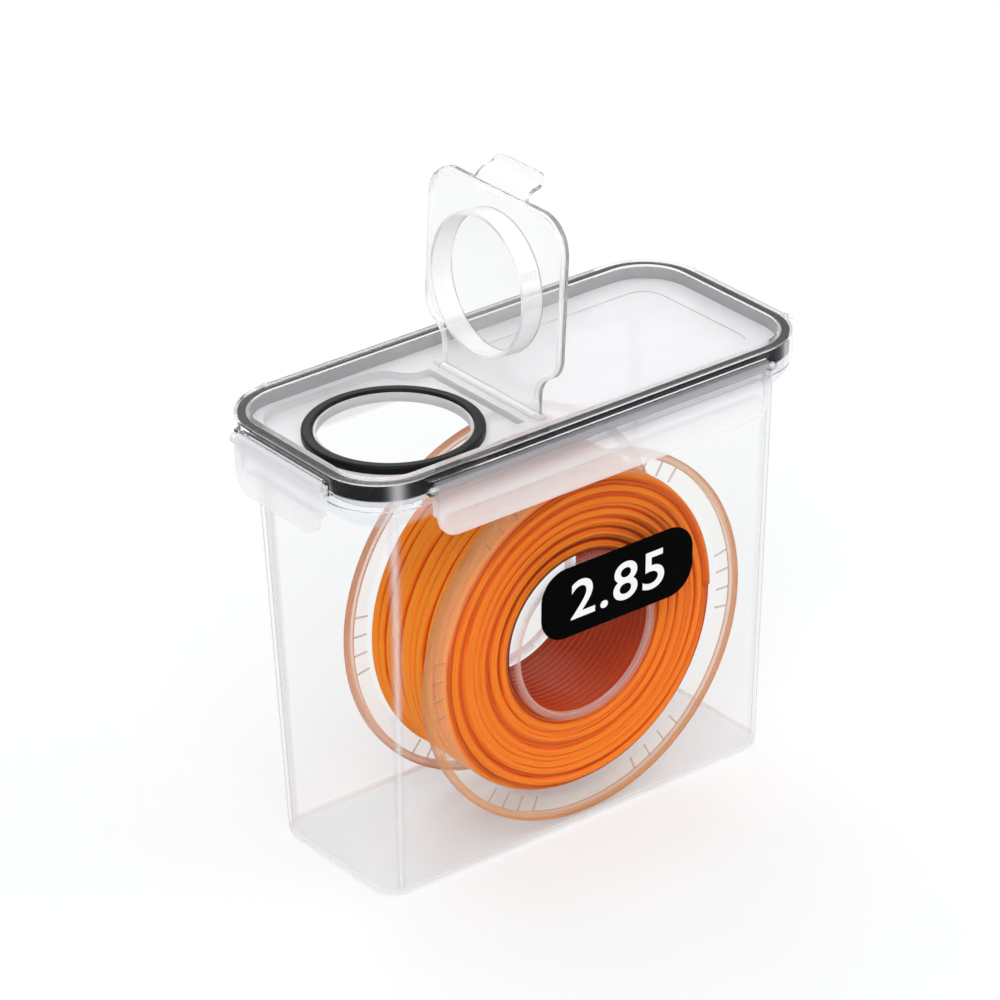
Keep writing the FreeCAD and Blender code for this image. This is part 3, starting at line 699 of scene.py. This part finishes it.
def ring(front, rear):
    """The body of the winding: a ring whose bore shows the innermost turns."""
    inner, outer = HUB_R + 0.2, CORE_R + 0.4
    bore_turns, points_per_groove, groove_depth, slices = 16, 6, 0.7, 144
    profile = [(inner, front), (outer, front), (outer, rear), (inner, rear)]
    for i in range(1, bore_turns * points_per_groove):
        t = i / (bore_turns * points_per_groove)
        groove = groove_depth * (1 - abs(math.sin(math.pi * t * bore_turns)))
        profile.append((inner + groove, rear + (front - rear) * t))
    verts, faces = [], []
    n = len(profile)
    for s in range(slices):
        angle = 2 * math.pi * s / slices
        verts += [around(angle, radius, y) * MM for radius, y in profile]
    for s in range(slices):
        t = (s + 1) % slices
        for k in range(n):
            m = (k + 1) % n
            faces.append((s * n + k, s * n + m, t * n + m, t * n + k))
    return verts, faces


def join(*shapes):
    """Several lists of vertices and faces as one."""
    verts, faces = [], []
    for more_verts, more_faces in shapes:
        start = len(verts)
        verts += more_verts
        faces += [tuple(start + i for i in face) for face in more_faces]
    return verts, faces


def mesh_object(name, verts, faces, smooth=True):
    mesh = bpy.data.meshes.new(name)
    mesh.from_pydata([tuple(v) for v in verts], [], faces)
    mesh.update()
    if smooth:
        mesh.polygons.foreach_set("use_smooth", [True] * len(mesh.polygons))
    made = bpy.data.objects.new(name, mesh)
    scene.collection.objects.link(made)
    return made


def add_winding():
    """The filament: an outer layer of turns over a core with turns on its two sides and in its bore."""
    # In each list the first tone is painted shade in the bore, the second painted shade in the gaps, and the
    # last painted light on the crests.
    layer_tones = ((0.52, 0.050, 0.002), (0.76, 0.125, 0.004), (0.93, 0.21, 0.007), (0.97, 0.28, 0.014))
    side_tones = ((0.52, 0.050, 0.002), (0.72, 0.105, 0.003), (0.91, 0.17, 0.005), (0.965, 0.225, 0.008))
    rng = random.Random(11)
    strand = mesh_object("filament_strand", *tube(outer_path(rng), STRAND_R))
    strand.data.materials.append(filament_plastic("orange_strand", layer_tones, strand_shade_depth, across_layer))
    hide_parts("filament_outer_layer")
    front, rear = GROOVE_FRONT + SIDE_DEPTH, GROOVE_REAR - SIDE_DEPTH
    sides = [tube(side_path(rng, y, outward), SIDE_STRAND_R) for y, outward in ((front, -1), (rear, 1))]
    core = mesh_object("filament_under_layers", *join(ring(front, rear), *sides))
    core.data.materials.append(filament_plastic("orange_core", side_tones, core_shade_depth, across_side))
    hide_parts("filament_core")
    for piece in (strand, core):
        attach(piece, "spool")


# Number on the label

def add_label_number():
    """A plain number, half as tall as the label, standing just proud of it along the leaning front wall."""
    name = "label_number"
    low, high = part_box("label")
    data = bpy.data.curves.new(name, "FONT")
    data.body = "2.85"
    data.size = 0.0275
    data.align_x, data.align_y = "CENTER", "CENTER"
    data.offset = 0.0003
    data.extrude = 0.00003
    data.space_character = 1.08
    holder = bpy.data.objects.new(name + "_text", data)
    scene.collection.objects.link(holder)
    bpy.context.view_layer.update()
    mesh = bpy.data.meshes.new_from_object(holder.evaluated_get(bpy.context.evaluated_depsgraph_get()))
    bpy.data.objects.remove(holder)
    number = bpy.data.objects.new(name, mesh)
    scene.collection.objects.link(number)
    xs = [v.co.x for v in mesh.vertices]
    ys = [v.co.y for v in mesh.vertices]
    centre = Vector(((min(xs) + max(xs)) / 2, (min(ys) + max(ys)) / 2, 0))
    wall_run, wall_rise = 7.5, 192.0
    lean = math.atan(wall_run / wall_rise)
    widen, proud = 1.12, 0.00024
    stand = Matrix.Rotation(math.pi / 2 + lean, 4, "X") @ Matrix.Diagonal((widen, 1.0, 1.0, 1.0))
    middle = (Vector(low) + Vector(high)) / 2
    out = Vector((0, -math.cos(lean), -math.sin(lean)))
    mesh.transform(Matrix.Translation(middle + out * proud) @ stand @ Matrix.Translation(-centre))
    mesh.update()
    ink = grained("white_ink", scale=400.0, dark=(0.86, 0.86, 0.85), light=(0.93, 0.93, 0.92),
                  rough=(0.45, 0.6), gloss=0.5)
    mesh.materials.append(ink)
    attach(number, "container")


# Stage

def looked_at(tree):
    """1 where the camera, gloss or clear plastic looks straight at it, and 0 for the light that it gives."""
    path = node(tree, "ShaderNodeLightPath").outputs
    return most(tree, path["Is Camera Ray"], path["Is Glossy Ray"], path["Is Transmission Ray"])


def add_floor():
    """A white floor that fades out into the white background, so that it has no horizon.

    Where it is looked at, a share of it is the plain white of the background, and the rest keeps the shadow.
    """
    half, below, fade_from, fade_to, white_share = 1.6, 0.0003, 0.3, 1.5, 0.42
    corners = [(-half, -half, 0), (half, -half, 0), (half, half, 0), (-half, half, 0)]
    floor = mesh_object("floor", [Vector(c) for c in corners], [(0, 1, 2, 3)], smooth=False)
    floor.location.z = -below
    mat, tree, out = new_material("floor_white")
    shader = node(tree, "ShaderNodeBsdfPrincipled")
    shader.inputs["Base Color"].default_value = (0.917, 0.94, 0.945, 1)
    shader.inputs["Roughness"].default_value = 0.6
    shader.inputs["Specular IOR Level"].default_value = 0.1
    coords = node(tree, "ShaderNodeTexCoord")
    far = node(tree, "ShaderNodeVectorMath", operation="LENGTH")
    tree.links.new(coords.outputs["Object"], far.inputs[0])
    share = ranged(tree, far.outputs["Value"], 1.0, 0.0, fade_from, fade_to)
    gone = node(tree, "ShaderNodeBsdfTransparent")
    white = node(tree, "ShaderNodeEmission")
    white.inputs["Color"].default_value = (1, 1, 1, 1)
    white.inputs["Strength"].default_value = 1.0
    seen = calc(tree, "MULTIPLY", looked_at(tree), white_share)
    shown = blend(tree, seen, shader.outputs["BSDF"], white.outputs["Emission"])
    mix = blend(tree, share, gone.outputs["BSDF"], shown)
    tree.links.new(mix, out.inputs["Surface"])
    floor.data.materials.append(mat)


def add_world():
    """Soft light on the object, and plain white where the camera, gloss or clear plastic sees it."""
    world = bpy.data.worlds.new("studio")
    scene.world = world
    world.use_nodes = True
    tree = world.node_tree
    tree.nodes.clear()
    out = node(tree, "ShaderNodeOutputWorld")
    light = node(tree, "ShaderNodeBackground")
    light.inputs["Color"].default_value = (0.97, 0.98, 1.0, 1)
    light.inputs["Strength"].default_value = 0.62
    seen = node(tree, "ShaderNodeBackground")
    seen.inputs["Color"].default_value = (1, 1, 1, 1)
    seen.inputs["Strength"].default_value = 1.0
    mix = blend(tree, looked_at(tree), light.outputs["Background"], seen.outputs["Background"])
    tree.links.new(mix, out.inputs["Surface"])


def add_lamp(name, place, aim, size, power):
    data = bpy.data.lights.new(name, "AREA")
    data.shape = "RECTANGLE"
    data.size, data.size_y = size
    data.energy = power
    lamp = bpy.data.objects.new(name, data)
    lamp.location = place
    lamp.rotation_euler = (Vector(aim) - Vector(place)).to_track_quat("-Z", "Y").to_euler()
    scene.collection.objects.link(lamp)


def set_cycles():
    """Enough bounces for light to leave the clear plastic, whose edges would else go black."""
    scene.cycles.max_bounces = 96
    scene.cycles.transmission_bounces = 96
    scene.cycles.glossy_bounces = 96
    scene.cycles.transparent_max_bounces = 48


def main():
    scene.view_settings.view_transform = "Standard"
    set_cycles()
    add_camera()
    paint_nodes()
    add_winding()
    add_label_number()
    add_floor()
    add_world()
    add_lamp("key", place=(-1.1, -1.3, 1.9), aim=(0, 0, 0.1), size=(1.4, 1.4), power=26)
    add_lamp("fill", place=(1.6, -0.9, 1.1), aim=(0, 0, 0.12), size=(1.2, 1.2), power=9)
    add_lamp("back", place=(0.4, 1.5, 1.6), aim=(0, 0, 0.12), size=(1.6, 0.9), power=12)


main()
